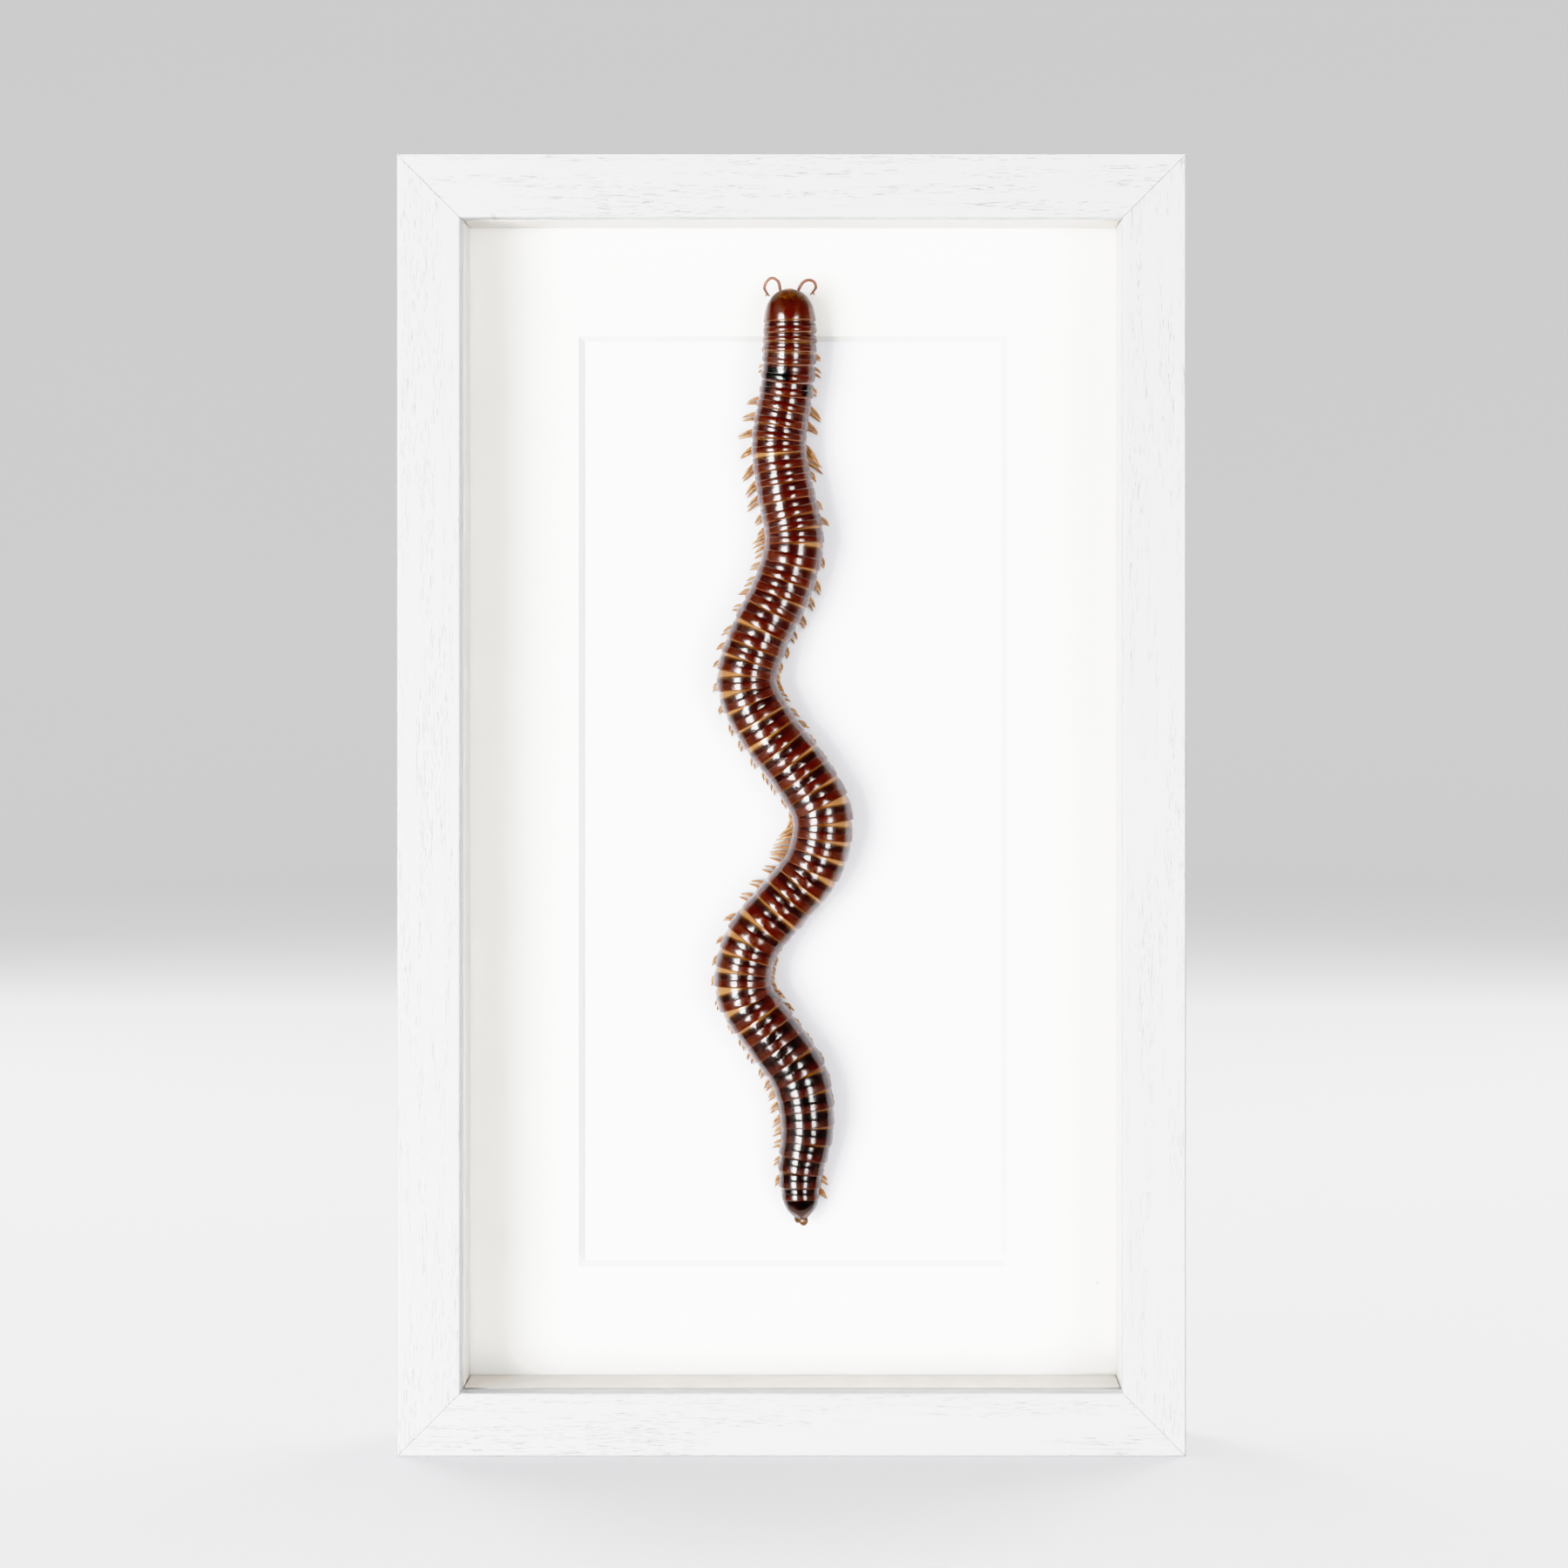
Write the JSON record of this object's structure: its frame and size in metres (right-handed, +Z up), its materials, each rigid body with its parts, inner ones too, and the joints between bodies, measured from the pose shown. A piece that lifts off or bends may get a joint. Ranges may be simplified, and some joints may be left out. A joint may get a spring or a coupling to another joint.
{
  "type": "framed giant millipede",
  "caption": "Dried giant millipede laid in gentle bends on a white board with a bevelled window mat, behind glass in a deep mitred white box frame that stands on a shelf.",
  "frame": {"origin": "middle of the frame's outline at its bottom face, where it stands", "axes": "+Z up along the frame's height, -Y out of the glass towards the viewer, +X to the viewer's right"},
  "size_m": [0.2, 0.038, 0.33],
  "materials": {
    "white_paint": "white satin paint over open-grained wood",
    "spacer_paint": "matt off-white paint",
    "mat_card": "matt white card with a bevelled edge",
    "white_board": "matt white board",
    "fibreboard": "brown fibreboard",
    "clear_glass": "clear polished",
    "millipede_shell": "glossy mahogany shell, amber bands and legs",
    "tab_steel": "dull cut steel",
    "plated_brass": "brass-plated steel"
  },
  "bodies": {
    "root": {"rail_top": "white_paint", "rail_bottom": "white_paint", "rail_left": "white_paint", "rail_right": "white_paint", "glass": "clear_glass", "spacer_top": "spacer_paint", "spacer_bottom": "spacer_paint", "spacer_left": "spacer_paint", "spacer_right": "spacer_paint", "window_mat": "mat_card", "mounting_board": "white_board", "backing_board": "fibreboard", "millipede": "millipede_shell", "hanger": "plated_brass", "rivet_left": "plated_brass", "rivet_right": "plated_brass", "back_tab_1": "tab_steel", "back_tab_2": "tab_steel", "back_tab_3": "tab_steel", "back_tab_4": "tab_steel", "back_tab_5": "tab_steel", "back_tab_6": "tab_steel", "back_tab_7": "tab_steel", "back_tab_8": "tab_steel", "back_tab_9": "tab_steel", "back_tab_10": "tab_steel"}
  },
  "joints": []
}
